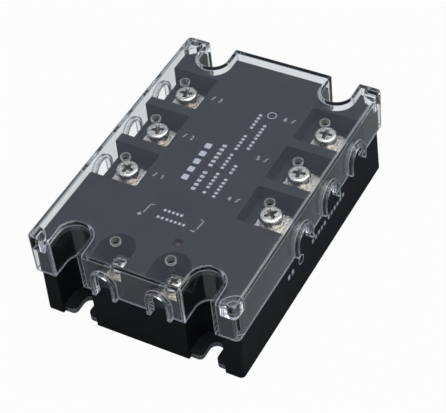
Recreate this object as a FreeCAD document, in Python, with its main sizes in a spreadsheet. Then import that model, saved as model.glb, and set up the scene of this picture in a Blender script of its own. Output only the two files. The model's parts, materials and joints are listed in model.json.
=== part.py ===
"""Three-phase solid state relay in a black moulded housing with a clear push-fit terminal cover.

Millimetres. The origin is the centre of the base plate's underside. X runs across the width, Y along
the length with the two input terminals at -Y, and Z points up.
"""

import FreeCAD, Part

import math
import os

import Sketcher

# Driving dimensions, all in millimetres except the draft and taper angles, which are in degrees.
DIMENSIONS = {
    # clear cover
    "cover_width": 74.0,
    "cover_length": 105.0,
    "cover_top": 35.0,
    "skirt_bottom": 19.4,
    "cover_wall": 1.1,
    "cover_roof": 2.0,
    "cover_corner_radius": 1.8,
    "cover_edge_radius": 0.8,
    "cover_notch_radius": 5.2,
    "cover_post_radius": 4.7,
    "cover_post_length": 4.2,
    "probe_hole_radius": 1.4,
    "probe_hole_chamfer": 0.15,
    # collars round the wire entries in the cover's walls
    "lip_reach": 1.6,
    "side_arch_radius": 4.45,
    "side_arch_height": 23.6,
    "side_lip_wall": 1.1,
    "front_arch_radius": 2.95,
    "front_arch_height": 25.9,
    "front_lip_wall": 1.4,
    "lip_edge_radius": 0.4,
    # housing
    "housing_width": 72.6,
    "housing_length": 103.0,
    "housing_base": 0.2,
    "housing_top": 30.8,
    "housing_draft": 1.35,
    "housing_corner_radius": 1.6,
    "housing_edge_chamfer": 0.35,
    "notch_across": 23.5,
    "notch_along": 46.0,
    "housing_notch_radius": 6.5,
    "rebate_radius": 5.0,
    "rebate_depth": 2.3,
    "web_thickness": 1.0,
    "shelf_underside": 15.2,
    "cavity_roof": 28.4,
    # aluminium base plate and its mounting slots
    "plate_width": 68.6,
    "plate_length": 100.6,
    "plate_thickness": 2.0,
    "plate_gap": 0.05,
    "slot_radius": 2.5,
    "slot_along": 45.4,
    "slot_mouth_radius": 1.6,
    # power terminals
    "terminal_across": 26.4,
    "terminal_along": 10.6,
    "terminal_pitch": 19.9,
    "well_inner": 18.2,
    "well_width": 16.1,
    "well_floor": 22.9,
    "ledge_edge": 21.5,
    "ledge_thickness": 1.0,
    "well_corner_radius": 0.8,
    "strap_width": 10.0,
    "strap_thickness": 1.2,
    "strap_outer": 31.6,
    "strap_leg_outer": 20.1,
    "strap_leg_width": 7.8,
    "strap_foot": 12.0,
    "power_screw_radius": 2.0,
    "power_screw_length": 7.6,
    "power_head_radius": 3.9,
    "power_head_height": 2.9,
    "power_nut_flats": 7.0,
    "power_nut_height": 3.2,
    "spring_washer_radius": 3.75,
    "spring_washer_height": 0.9,
    "spring_washer_gap": 0.7,
    "square_washer_width": 9.4,
    "square_washer_height": 1.0,
    "washer_bore_radius": 2.2,
    # input terminals
    "input_across": 9.85,
    "input_along": 43.0,
    "input_well_radius": 6.0,
    "input_floor": 20.8,
    "input_tab_width": 7.0,
    "input_tab_thickness": 0.8,
    "input_tab_front": 46.8,
    "input_tab_back": 38.5,
    "input_leg_width": 4.0,
    "input_screw_radius": 1.5,
    "input_screw_length": 5.6,
    "input_head_radius": 2.8,
    "input_head_height": 2.2,
    "input_nut_flats": 5.5,
    "input_nut_height": 2.4,
    "input_washer_radius": 3.5,
    "input_washer_height": 0.6,
    "input_washer_bore_radius": 1.7,
    # shared fastener details
    "running_gap": 0.04,
    "pocket_gap": 0.06,
    "recess_width": 1.15,
    "recess_taper": 8.0,
    # status lamp
    "lamp_across": 6.3,
    "lamp_along": 33.4,
    "lamp_radius": 1.5,
    "lamp_recess": 0.3,
    "lamp_hole_chamfer": 0.4,
    # electronics
    "substrate_length": 42.0,
    "substrate_width": 15.0,
    "substrate_thickness": 1.0,
    "die_side": 6.0,
    "die_thickness": 0.4,
    "die_across": 5.5,
    "die_along": 3.4,
    "bridge_width": 5.0,
    "bridge_thickness": 0.6,
    "board_width": 30.4,
    "board_length": 94.0,
    "board_thickness": 1.6,
    "board_underside": 13.0,
    "cavity_width": 67.0,
    "cavity_length": 76.4,
    "core_width": 31.4,
    "core_length": 96.6,
    "core_front": 35.4,
    "pin_radius": 0.4,
    "pin_across": 10.4,
    "pin_along": 5.4,
    "opto_across": 9.0,
    "capacitor_across": 8.5,
    "resistor_across": 0.4,
    "input_parts_along": 26.5,
    "lead_radius": 0.32,
    "lead_hole_radius": 0.45,
}

PHASES = (1, 2, 3)
SIDES = {"line": -1, "load": 1}
POLES = {"positive": -1, "negative": 1}
# Rest angles of the cross recesses, in degrees: hand-tightened screws never stop lined up.
POWER_SCREW_ANGLES = {
    ("line", 1): 78.0,
    ("line", 2): 24.0,
    ("line", 3): 9.0,
    ("load", 1): 52.0,
    ("load", 2): 8.0,
    ("load", 3): 3.0,
}
INPUT_SCREW_ANGLES = {"positive": 31.0, "negative": 64.0}
BEYOND = 12.0  # how far a cut that leaves the material runs past it

document = FreeCAD.newDocument("SolidStateRelay")


class Size:
    """A length with the spreadsheet formula that gives it, so that one expression sets both."""

    def __init__(self, value, formula=None):
        self.value = float(value)
        self.formula = formula or repr(float(value))

    def _join(self, other, sign, value):
        return Size(value, f"({self.formula} {sign} {sized(other).formula})")

    def __add__(self, other):
        return self._join(other, "+", self.value + sized(other).value)

    def __sub__(self, other):
        return self._join(other, "-", self.value - sized(other).value)

    def __mul__(self, other):
        return self._join(other, "*", self.value * sized(other).value)

    def __truediv__(self, other):
        return self._join(other, "/", self.value / sized(other).value)

    def __neg__(self):
        return self * -1


def sized(number):
    """The number itself if it is a Size already, or a constant Size."""
    return number if isinstance(number, Size) else Size(number)


def cell(name):
    """The spreadsheet cell with this alias."""
    return Size(DIMENSIONS[name], "Sizes." + name)


def half(name):
    """Half of the spreadsheet cell with this alias."""
    return cell(name) / 2


def make_sheet():
    """The spreadsheet of driving dimensions, one aliased row each."""
    sheet = document.addObject("Spreadsheet::Sheet", "Sizes")
    for row, (name, value) in enumerate(DIMENSIONS.items(), start=1):
        sheet.set(f"A{row}", name)
        sheet.set(f"B{row}", repr(value))
        sheet.setAlias(f"B{row}", name)
    document.recompute()


def bind(target, path, size):
    """Ties one property of an object to the spreadsheet."""
    target.setExpression(path, sized(size).formula)


# ---------------------------------------------------------------- sketches


class Sketch:
    """A sketch on one of its body's origin planes, with every size tied to the spreadsheet."""

    def __init__(self, body, name, plane="XY_Plane", offset=0):
        self.item = body.newObject("Sketcher::SketchObject", name)
        self.item.AttachmentSupport = [(origin_plane(body, plane), "")]
        self.item.MapMode = "FlatFace"
        height = sized(offset)
        self.item.AttachmentOffset.Base.z = height.value
        bind(self.item, "AttachmentOffset.Base.z", height)

    def _hold(self, kind, *where):
        """Adds a dimensional constraint whose last argument is a Size."""
        size = sized(where[-1])
        index = self.item.addConstraint(Sketcher.Constraint(kind, *where[:-1], size.value))
        bind(self.item, f"Constraints[{index}]", size)

    def _place(self, shape, point, across, along):
        """Fixes a point of a shape by its distances from the sketch's origin."""
        self._hold("DistanceX", -1, 1, shape, point, across)
        self._hold("DistanceY", -1, 1, shape, point, along)

    def _relate(self, kind, *where):
        self.item.addConstraint(Sketcher.Constraint(kind, *where))

    def polygon(self, corners):
        """A closed outline of straight edges through (across, along) corners."""
        corners = [(sized(a), sized(b)) for a, b in corners]
        points = [FreeCAD.Vector(a.value, b.value, 0) for a, b in corners]
        ends = points[1:] + points[:1]
        edges = [self.item.addGeometry(Part.LineSegment(a, b)) for a, b in zip(points, ends)]
        for here, after in zip(edges, edges[1:] + edges[:1]):
            self._relate("Coincident", here, 2, after, 1)
        for edge, (across, along) in zip(edges, corners):
            self._place(edge, 1, across, along)

    def rectangle(self, left, near, right, far):
        """An upright rectangle between two opposite corners."""
        self.polygon([(left, near), (right, near), (right, far), (left, far)])

    def box(self, across, along, width, length):
        """An upright rectangle round a centre."""
        width, length = sized(width) / 2, sized(length) / 2
        across, along = sized(across), sized(along)
        self.rectangle(across - width, along - length, across + width, along + length)

    def circle(self, across, along, radius):
        """A circle round a centre."""
        across, along, radius = sized(across), sized(along), sized(radius)
        centre = FreeCAD.Vector(across.value, along.value, 0)
        ring = Part.Circle(centre, FreeCAD.Vector(0, 0, 1), radius.value)
        shape = self.item.addGeometry(ring)
        self._place(shape, 3, across, along)
        self._hold("Radius", shape, radius)

    def hexagon(self, across, along, flats):
        """A regular hexagon with two flats square to the second axis."""
        reach = sized(flats) / math.sqrt(3)
        turns = [math.radians(60 * step) for step in range(6)]
        self.polygon(
            [
                (sized(across) + reach * math.cos(turn), sized(along) + reach * math.sin(turn))
                for turn in turns
            ]
        )

    def arch(self, across, along, radius, end):
        """A half-round closed end with two straight sides that run along the second axis to end."""
        across, along, radius, end = map(sized, (across, along, radius, end))
        upward = end.value < along.value
        centre = FreeCAD.Vector(across.value, along.value, 0)
        ring = Part.Circle(centre, FreeCAD.Vector(0, 0, 1), radius.value)
        turn = (0, math.pi) if upward else (math.pi, 2 * math.pi)
        bend = self.item.addGeometry(Part.ArcOfCircle(ring, *turn))
        self._place(bend, 3, across, along)
        self._hold("Radius", bend, radius)
        reach = radius.value if upward else -radius.value
        first = FreeCAD.Vector(across.value + reach, along.value, 0)
        last = FreeCAD.Vector(across.value - reach, along.value, 0)
        corners = [FreeCAD.Vector(point.x, end.value, 0) for point in (last, first)]
        sides = [
            self.item.addGeometry(Part.LineSegment(last, corners[0])),
            self.item.addGeometry(Part.LineSegment(corners[0], corners[1])),
            self.item.addGeometry(Part.LineSegment(corners[1], first)),
        ]
        self._relate("Horizontal", bend, 3, bend, 1)
        self._relate("Horizontal", bend, 3, bend, 2)
        self._relate("Coincident", bend, 2, sides[0], 1)
        self._relate("Coincident", sides[0], 2, sides[1], 1)
        self._relate("Coincident", sides[1], 2, sides[2], 1)
        self._relate("Coincident", sides[2], 2, bend, 1)
        self._relate("Vertical", sides[0])
        self._relate("Vertical", sides[2])
        self._relate("Horizontal", sides[1])
        self._hold("DistanceY", -1, 1, sides[0], 2, end)


    def quarter(self, across, along, radius, x_sign, y_sign):
        """A quarter disc that opens from its corner away from the given signs."""
        across, along, radius = sized(across), sized(along), sized(radius)
        middle = FreeCAD.Vector(across.value, along.value, 0)
        ring = Part.Circle(middle, FreeCAD.Vector(0, 0, 1), radius.value)
        start = {(1, 1): 180, (-1, 1): 270, (-1, -1): 0, (1, -1): 90}[x_sign, y_sign]
        arc = Part.ArcOfCircle(ring, math.radians(start), math.radians(start + 90))
        bend = self.item.addGeometry(arc)
        self._place(bend, 3, across, along)
        self._hold("Radius", bend, radius)
        level_end, plumb_end = (1, 2) if x_sign == y_sign else (2, 1)
        for end, kind in ((level_end, "Horizontal"), (plumb_end, "Vertical")):
            tip = arc.StartPoint if end == 1 else arc.EndPoint
            edge = self.item.addGeometry(Part.LineSegment(tip, middle))
            self._relate("Coincident", bend, end, edge, 1)
            self._relate("Coincident", bend, 3, edge, 2)
            self._relate(kind, edge)


    def staple(self, pitch, bottom, top, bend):
        """An open path: up, round a bend, across, round a bend and down again."""
        pitch, bottom, top, bend = map(sized, (pitch, bottom, top, bend))
        reach = pitch / 2 - bend
        runs = []
        for side, start in ((-1, 90), (1, 0)):
            middle = FreeCAD.Vector(reach.value * side, top.value - bend.value, 0)
            ring = Part.Circle(middle, FreeCAD.Vector(0, 0, 1), bend.value)
            arc = Part.ArcOfCircle(ring, math.radians(start), math.radians(start + 90))
            turn = self.item.addGeometry(arc)
            self._place(turn, 3, reach * side, top - bend)
            self._hold("Radius", turn, bend)
            low, high = (2, 1) if side < 0 else (1, 2)
            self._relate("Horizontal", turn, 3, turn, low)
            self._relate("Vertical", turn, 3, turn, high)
            outer = arc.EndPoint if side < 0 else arc.StartPoint
            foot = FreeCAD.Vector(outer.x, bottom.value, 0)
            leg = self.item.addGeometry(Part.LineSegment(foot, outer))
            self._relate("Coincident", leg, 2, turn, low)
            self._relate("Vertical", leg)
            self._hold("DistanceY", -1, 1, leg, 1, bottom)
            runs.append((turn, high, arc.StartPoint if side < 0 else arc.EndPoint))
        (left, left_end, start), (right, right_end, end) = runs
        span = self.item.addGeometry(Part.LineSegment(start, end))
        self._relate("Coincident", span, 1, left, left_end)
        self._relate("Coincident", span, 2, right, right_end)


def origin_plane(body, role):
    """One of a body's own origin planes, by its role."""
    return next(feature for feature in body.Origin.OriginFeatures if feature.Role == role)


# ---------------------------------------------------------------- features


def make_body(name):
    """An empty body with this label."""
    body = document.addObject("PartDesign::Body", name)
    body.Label = name
    body.AllowCompound = True
    return body


def set_place(item, across, along, height, angle=0.0):
    """Moves an item to its place, turned about the vertical through it."""
    turned = FreeCAD.Rotation(FreeCAD.Vector(0, 0, 1), angle)
    item.Placement = FreeCAD.Placement(FreeCAD.Vector(0, 0, 0), turned)
    for axis, size in zip("xyz", (across, along, height)):
        bind(item, f"Placement.Base.{axis}", size)


def pad(body, sketch, length, name, backward=False, both_ways=False):
    """Adds material to a sketch's outline."""
    feature = body.newObject("PartDesign::Pad", name)
    feature.Profile = sketch.item
    bind(feature, "Length", length)
    feature.Reversed = backward
    feature.Midplane = both_ways
    sketch.item.Visibility = False
    return feature


def cut(body, sketch, name, length=None, backward=False, both_ways=False, taper=None):
    """Removes a sketch's outline, right through when no length is given, and proves that it cut."""
    document.recompute()
    before = body.Shape.Volume
    feature = body.newObject("PartDesign::Pocket", name)
    feature.Profile = sketch.item
    if length is None:
        feature.Type = "ThroughAll"
    else:
        bind(feature, "Length", length)
    feature.Reversed = backward
    feature.Midplane = both_ways
    if taper is not None:
        bind(feature, "TaperAngle", taper)
    document.recompute()
    if body.Shape.Volume >= before - 1e-3:
        raise RuntimeError(f"{body.Label}: {name} removes nothing")
    return feature


def soften(body, name, size, wanted, kind="Fillet"):
    """Rounds or chamfers the edges of the body so far that the test picks."""
    document.recompute()
    base = body.Tip
    picked = [f"Edge{i}" for i, edge in enumerate(base.Shape.Edges, start=1) if wanted(edge)]
    if not picked:
        raise RuntimeError(f"{body.Label}: {name} finds no edges")
    feature = body.newObject("PartDesign::" + kind, name)
    feature.Base = (base, picked)
    bind(feature, "Radius" if kind == "Fillet" else "Size", size)
    return feature


def lean(body, name, angle, base_height):
    """Drafts the upright faces of the body so far inward from its level underside."""
    document.recompute()
    base = body.Tip
    sides, underside = [], None
    for i, face in enumerate(base.Shape.Faces, start=1):
        normal = face.normalAt(0, 0)
        if abs(normal.z) < 1e-6:
            sides.append(f"Face{i}")
        elif near(face.CenterOfMass.z, base_height):
            underside = f"Face{i}"
    feature = body.newObject("PartDesign::Draft", name)
    feature.Base = (base, sides)
    feature.NeutralPlane = (base, [underside])
    bind(feature, "Angle", angle)
    return feature


def near(a, b, tolerance=1e-3):
    """Whether two numbers agree."""
    return abs(a - sized(b).value) < tolerance


def is_upright(edge, slack=0.05):
    """Whether an edge is straight and nearly vertical, as a drafted corner is."""
    if edge.Curve.TypeId != "Part::GeomLine":
        return False
    direction = edge.tangentAt(edge.FirstParameter)
    return abs(direction.z) > 1 - slack


def is_level(edge, height):
    """Whether an edge lies in the horizontal plane at this height."""
    box = edge.BoundBox
    return near(box.ZMin, height) and near(box.ZMax, height)


# ---------------------------------------------------------------- places shared by several pieces


def terminal_along(phase):
    """The Y of a phase's pair of power terminals."""
    return cell("terminal_along") + cell("terminal_pitch") * (phase - 2)


def corners():
    """The four sign pairs of a pattern with two mirror planes."""
    return [(across, along) for across in (-1, 1) for along in (-1, 1)]


def power_places():
    """The (side sign, X, Y) of the six power screws."""
    return [
        (sign, cell("terminal_across") * sign, terminal_along(phase))
        for sign in SIDES.values()
        for phase in PHASES
    ]


def input_places():
    """The (X, Y) of the two input screws."""
    return [(cell("input_across") * sign, -cell("input_along")) for sign in POLES.values()]


strap_top = cell("well_floor") + cell("strap_thickness")
ledge_top = strap_top + cell("ledge_thickness")
square_washer_top = strap_top + cell("square_washer_height")
power_head_seat = square_washer_top + cell("spring_washer_height")
input_tab_top = cell("input_floor") + cell("input_tab_thickness")
input_head_seat = input_tab_top + cell("input_washer_height")
web_top = cell("plate_thickness") + cell("web_thickness")
board_top = cell("board_underside") + cell("board_thickness")
substrate_top = cell("plate_thickness") + cell("substrate_thickness")
die_top = substrate_top + cell("die_thickness")
cover_inside_across = half("cover_width") - cell("cover_wall")
cover_inside_along = half("cover_length") - cell("cover_wall")
roof_underside = cell("cover_top") - cell("cover_roof")


# ---------------------------------------------------------------- base plate


def draw_slots(sketch):
    """The four open-ended mounting slots."""
    for across, along in corners():
        sketch.arch(
            cell("notch_across") * across,
            cell("slot_along") * along,
            cell("slot_radius"),
            (half("plate_length") + BEYOND) * along,
        )


def is_slot_mouth(edge):
    """Whether an edge is one of the upright corners where a mounting slot meets the plate's end."""
    at = edge.CenterOfMass
    beside = abs(abs(at.x) - DIMENSIONS["notch_across"])
    return (
        is_upright(edge)
        and near(beside, cell("slot_radius"), 0.02)
        and near(abs(at.y), half("plate_length"), 0.02)
    )


def make_base_plate():
    """The flat aluminium heat-sink plate with an open slot at each corner."""
    body = make_body("base_plate")
    outline = Sketch(body, "plate_outline")
    outline.box(0, 0, cell("plate_width"), cell("plate_length"))
    pad(body, outline, cell("plate_thickness"), "plate")
    slots = Sketch(body, "plate_slots", offset=cell("plate_thickness"))
    draw_slots(slots)
    cut(body, slots, "plate_slot_cut")
    soften(body, "plate_mouths", cell("slot_mouth_radius"), is_slot_mouth)


# ---------------------------------------------------------------- housing


def make_housing():
    """The black moulding: drafted block, corner notches, terminal wells and the hollow underneath."""
    body = make_body("housing")
    outline = Sketch(body, "housing_outline", offset=cell("housing_base"))
    outline.box(0, 0, cell("housing_width"), cell("housing_length"))
    height = cell("housing_top") - cell("housing_base")
    pad(body, outline, height, "block")
    lean(body, "block_draft", cell("housing_draft"), cell("housing_base"))
    soften(body, "block_corners", cell("housing_corner_radius"), is_upright)
    soften(
        body,
        "block_rim",
        cell("housing_edge_chamfer"),
        lambda edge: is_level(edge, cell("housing_top")),
        "Chamfer",
    )
    cut_plate_seat(body)
    cut_corner_notches(body)
    cut_hollow(body)
    cut_power_wells(body)
    cut_input_wells(body)
    cut_top_details(body)


def cut_plate_seat(body):
    """The shallow seat that the base plate is bonded into."""
    gap = cell("plate_gap") * 2
    seat = Sketch(body, "plate_seat", offset=cell("plate_thickness"))
    seat.box(0, 0, cell("plate_width") + gap, cell("plate_length") + gap)
    cut(body, seat, "plate_seat_cut")


def cut_corner_notches(body):
    """The four screwdriver notches, and the thin slotted web left over the plate's ears."""
    notches = Sketch(body, "notches", offset=web_top)
    ends = Sketch(body, "notch_ends", offset=web_top)
    for across, along in corners():
        centre = cell("notch_across") * across
        past = (half("housing_length") + BEYOND) * along
        radius = cell("housing_notch_radius")
        notches.arch(centre, cell("notch_along") * along, radius, past)
        low, high = sorted((half("plate_length") * along, past), key=lambda size: size.value)
        ends.rectangle(centre - radius, low, centre + radius, high)
    cut(body, notches, "notch_cut", backward=True)
    cut(body, ends, "notch_end_cut")
    slots = Sketch(body, "web_slots", offset=web_top)
    draw_slots(slots)
    cut(body, slots, "web_slot_cut")
    soften(body, "web_mouths", cell("slot_mouth_radius"), is_slot_mouth)


def cut_hollow(body):
    """The room for the power stage below the terminal shelves, and for the board's parts between."""
    lower = Sketch(body, "lower_hollow", offset=cell("plate_thickness"))
    lower.polygon(lower_hollow_outline())
    depth = cell("shelf_underside") - cell("plate_thickness")
    cut(body, lower, "lower_hollow_cut", length=depth, backward=True)
    upper = Sketch(body, "upper_hollow", offset=cell("shelf_underside"))
    across = half("core_width")
    upper.rectangle(-across, -cell("core_front"), across, half("core_length"))
    depth = cell("cavity_roof") - cell("shelf_underside")
    cut(body, upper, "upper_hollow_cut", length=depth, backward=True)


def lower_hollow_outline():
    """The plan of the lower hollow: a wide bay between the notches and a core that runs past them."""
    wide_x, wide_y = half("cavity_width"), half("cavity_length")
    core_x, core_y = half("core_width"), half("core_length")
    quarter = [(wide_x, wide_y), (core_x, wide_y), (core_x, core_y)]
    return (
        quarter
        + [(-x, y) for x, y in reversed(quarter)]
        + [(-x, -y) for x, y in quarter]
        + [(x, -y) for x, y in reversed(quarter)]
    )


def cut_power_wells(body):
    """Six wells open to the sides, each with a ledge over its strap's bend, a nut pocket and a hole."""
    ledges = Sketch(body, "power_ledges", offset=ledge_top)
    wells = Sketch(body, "power_wells", offset=cell("well_floor"))
    beds = Sketch(body, "strap_beds", offset=cell("well_floor"))
    nuts = Sketch(body, "power_nut_pockets", offset=cell("well_floor"))
    holes = Sketch(body, "power_screw_holes", offset=cell("well_floor"))
    slots = Sketch(body, "strap_slots", offset=cell("well_floor"))
    gap = cell("pocket_gap")
    for sign, across, along in power_places():
        reach = half("housing_width") + BEYOND
        span = reach - cell("well_inner")
        ledges.box((reach + cell("well_inner")) / 2 * sign, along, span, cell("well_width"))
        span = reach - cell("ledge_edge")
        wells.box((reach + cell("ledge_edge")) / 2 * sign, along, span, cell("well_width"))
        bend = cell("strap_leg_outer") - cell("strap_thickness") - gap
        middle = (bend + cell("ledge_edge")) / 2 * sign
        beds.box(middle, along, cell("ledge_edge") - bend, cell("strap_width") + gap * 2)
        nuts.hexagon(across, along, cell("power_nut_flats") + gap * 2)
        holes.circle(across, along, cell("power_screw_radius") + gap * 5)
        leg = (cell("strap_leg_outer") - cell("strap_thickness") / 2) * sign
        slots.box(
            leg, along, cell("strap_thickness") + gap * 2, cell("strap_leg_width") + gap * 2
        )
    cut(body, ledges, "power_ledge_cut", backward=True)
    cut(body, wells, "power_well_cut", backward=True)
    cut(body, beds, "strap_bed_cut", length=cell("strap_thickness") + gap, backward=True)
    soften(body, "power_well_corners", cell("well_corner_radius"), is_well_corner)
    cut(body, nuts, "power_nut_cut", length=cell("power_nut_height") + gap)
    tip = power_head_seat - cell("power_screw_length")
    cut(body, holes, "power_hole_cut", length=cell("well_floor") - tip + gap * 6)
    cut(body, slots, "strap_slot_cut", length=cell("well_floor") - cell("shelf_underside"))


def is_well_corner(edge):
    """Whether an edge is one of the upright inner corners of the power wells."""
    return (
        is_upright(edge)
        and near(abs(edge.CenterOfMass.x), cell("well_inner"), 0.02)
        and near(edge.BoundBox.ZMin, ledge_top, 0.02)
    )


def cut_input_wells(body):
    """Two round-backed wells open to the front, each with a nut pocket, a hole and a lead slot."""
    wells = Sketch(body, "input_wells", offset=cell("input_floor"))
    nuts = Sketch(body, "input_nut_pockets", offset=cell("input_floor"))
    holes = Sketch(body, "input_screw_holes", offset=cell("input_floor"))
    slots = Sketch(body, "input_lead_slots", offset=cell("input_floor"))
    gap = cell("pocket_gap")
    for across, along in input_places():
        past = -(half("housing_length") + BEYOND)
        wells.arch(across, along, cell("input_well_radius"), past)
        nuts.hexagon(across, along, cell("input_nut_flats") + gap * 2)
        holes.circle(across, along, cell("input_screw_radius") + gap * 4)
        leg = -(cell("input_tab_back") + cell("input_tab_thickness") / 2)
        slots.box(
            across, leg, cell("input_leg_width") + gap * 2, cell("input_tab_thickness") + gap * 2
        )
    cut(body, wells, "input_well_cut", backward=True)
    cut(body, nuts, "input_nut_cut", length=cell("input_nut_height") + gap)
    tip = input_head_seat - cell("input_screw_length")
    cut(body, holes, "input_hole_cut", length=cell("input_floor") - tip + gap * 5)
    cut(body, slots, "input_slot_cut", length=cell("input_floor") - cell("shelf_underside"))


def cut_top_details(body):
    """The lamp hole, and the round rebate at each corner that the cover's posts stand in."""
    lamp = Sketch(body, "lamp_hole", offset=cell("housing_top"))
    lamp.circle(cell("lamp_across"), -cell("lamp_along"), cell("lamp_radius") + cell("pocket_gap"))
    cut(body, lamp, "lamp_hole_cut", length=cell("housing_top") - cell("cavity_roof"))
    soften(
        body,
        "lamp_countersink",
        cell("lamp_hole_chamfer"),
        lambda edge: is_lamp_rim(edge),
        "Chamfer",
    )
    rebates = Sketch(body, "post_rebates", offset=cell("housing_top") - cell("rebate_depth"))
    for across, along in corners():
        rebates.circle(
            cover_inside_across * across, cover_inside_along * along, cell("rebate_radius")
        )
    cut(body, rebates, "post_rebate_cut", backward=True)


def is_lamp_rim(edge):
    """Whether an edge is the top rim of the lamp hole."""
    at = edge.CenterOfMass
    return (
        is_level(edge, cell("housing_top"))
        and edge.Curve.TypeId == "Part::GeomCircle"
        and near(at.x, cell("lamp_across"), 0.5)
        and near(at.y, -cell("lamp_along"), 0.5)
    )


# ---------------------------------------------------------------- clear cover


def make_cover():
    """The clear cap: roof, skirt, notch walls, corner posts, collared wire entries and probe holes."""
    body = make_body("terminal_cover")
    outline = Sketch(body, "cover_outline", offset=cell("skirt_bottom"))
    outline.box(0, 0, cell("cover_width"), cell("cover_length"))
    pad(body, outline, cell("cover_top") - cell("skirt_bottom"), "cover_block")
    soften(body, "cover_corners", cell("cover_corner_radius"), is_upright)
    hollow_cover(body)
    add_notch_walls(body)
    add_entry_lips(body)
    cut_wire_entries(body)
    soften(
        body,
        "cover_rim",
        cell("cover_edge_radius"),
        lambda edge: is_level(edge, cell("cover_top")),
    )
    cut_probe_holes(body)


def hollow_cover(body):
    """Hollows the cap from below, and stands a quarter-round post in each upper corner."""
    inside = Sketch(body, "cover_inside", offset=cell("skirt_bottom"))
    inside.box(0, 0, cover_inside_across * 2, cover_inside_along * 2)
    depth = roof_underside - cell("skirt_bottom")
    cut(body, inside, "cover_inside_cut", length=depth, backward=True)
    into_wall = half("cover_wall")
    posts = Sketch(body, "cover_posts", offset=roof_underside - cell("cover_post_length"))
    for x_sign, y_sign in corners():
        posts.quarter(
            (cover_inside_across + into_wall) * x_sign,
            (cover_inside_along + into_wall) * y_sign,
            cell("cover_post_radius") + into_wall,
            x_sign,
            y_sign,
        )
    pad(body, posts, cell("cover_post_length") + half("cover_roof"), "cover_post_pad")


def add_notch_walls(body):
    """Walls that carry the skirt round the four screwdriver notches."""
    walls = Sketch(body, "notch_walls", offset=cell("skirt_bottom"))
    mouths = Sketch(body, "notch_mouths", offset=cell("skirt_bottom"))
    for across, along in corners():
        centre = cell("notch_across") * across
        round_at = cell("notch_along") * along
        outer = cell("cover_notch_radius") + cell("cover_wall")
        walls.arch(centre, round_at, outer, half("cover_length") * along)
        past = (half("cover_length") + BEYOND) * along
        mouths.arch(centre, round_at, cell("cover_notch_radius"), past)
    pad(body, walls, roof_underside - cell("skirt_bottom"), "notch_wall_pad")
    cut(body, mouths, "notch_mouth_cut", backward=True)


def add_entry_lips(body):
    """Collars that stand out of the walls round the wire entries."""
    reach = cell("lip_reach") + cell("cover_wall")
    for side, backward in ((1, False), (-1, True)):
        name = f"side_lips_{'right' if side > 0 else 'left'}"
        lips = Sketch(body, name, "YZ_Plane", cover_inside_across * side)
        for phase in PHASES:
            outer = cell("side_arch_radius") + cell("side_lip_wall")
            lips.arch(terminal_along(phase), cell("side_arch_height"), outer, cell("skirt_bottom"))
        pad(body, lips, reach, name + "_pad", backward=backward)
    front = Sketch(body, "front_lips", "XZ_Plane", cover_inside_along)
    for across, _ in input_places():
        outer = cell("front_arch_radius") + cell("front_lip_wall")
        front.arch(across, cell("front_arch_height"), outer, cell("skirt_bottom"))
    pad(body, front, reach, "front_lips_pad")


def cut_wire_entries(body):
    """The open arches themselves, three through each long wall and two through the front wall."""
    below = cell("skirt_bottom") - cell("cover_wall")
    sides = Sketch(body, "side_entries", "YZ_Plane")
    for phase in PHASES:
        radius = cell("side_arch_radius")
        sides.arch(terminal_along(phase), cell("side_arch_height"), radius, below)
    cut(body, sides, "side_entry_cut", both_ways=True)
    front = Sketch(body, "front_entries", "XZ_Plane", half("cover_length") - BEYOND)
    for across, _ in input_places():
        front.arch(across, cell("front_arch_height"), cell("front_arch_radius"), below)
    cut(body, front, "front_entry_cut", length=BEYOND * 2, backward=True)
    soften(body, "lip_rims", cell("lip_edge_radius"), is_lip_rim)


def is_lip_rim(edge):
    """Whether an edge lies in the outer face of a collar, away from its feet."""
    box = edge.BoundBox
    side = half("cover_width") + cell("lip_reach")
    front = -(half("cover_length") + cell("lip_reach"))
    on_side = near(box.XMin, box.XMax) and near(abs(box.XMax), side.value)
    on_front = near(box.YMin, box.YMax) and near(box.YMax, front.value)
    return (on_side or on_front) and not is_level(edge, cell("skirt_bottom"))


def cut_probe_holes(body):
    """A chamfered hole in the roof over each screw."""
    holes = Sketch(body, "probe_holes", offset=cell("cover_top"))
    for _, across, along in power_places():
        holes.circle(across, along, cell("probe_hole_radius"))
    for across, along in input_places():
        holes.circle(across, along, cell("probe_hole_radius"))
    cut(body, holes, "probe_hole_cut", length=cell("cover_roof"))
    radius = DIMENSIONS["probe_hole_radius"]
    soften(
        body,
        "probe_hole_rims",
        cell("probe_hole_chamfer"),
        lambda edge: is_level(edge, cell("cover_top"))
        and edge.Curve.TypeId == "Part::GeomCircle"
        and near(edge.Curve.Radius, radius),
        "Chamfer",
    )


# ---------------------------------------------------------------- fasteners


def make_screw(name, prefix, across, along, seat, angle):
    """A pan-head screw with a cross recess, drawn with its head's underside at its own origin."""
    body = make_body(name)
    top = cell(prefix + "_head_height")
    radius, length = cell(prefix + "_screw_radius"), cell(prefix + "_screw_length")
    head = Sketch(body, name + "_head")
    head.circle(0, 0, cell(prefix + "_head_radius"))
    pad(body, head, top, name + "_head_pad")
    soften(body, name + "_crown", top * 0.5, lambda edge: is_level(edge, top))
    shank = Sketch(body, name + "_shank")
    shank.circle(0, 0, radius)
    pad(body, shank, length, name + "_shank_pad", backward=True)
    soften(body, name + "_point", radius / 4, lambda edge: is_level(edge, -length), "Chamfer")
    cross = Sketch(body, name + "_cross", offset=top)
    wing, arm = cell("recess_width") / 2, cell(prefix + "_head_radius") * 0.58
    quarter = [(arm, -wing), (arm, wing), (wing, wing)]
    outline = list(quarter)
    for _ in range(3):
        quarter = [(-y, x) for x, y in quarter]
        outline += quarter
    cross.polygon(outline)
    cut(body, cross, name + "_recess", length=top * 0.6, taper=-cell("recess_taper"))
    set_place(body, across, along, seat, angle)


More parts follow.
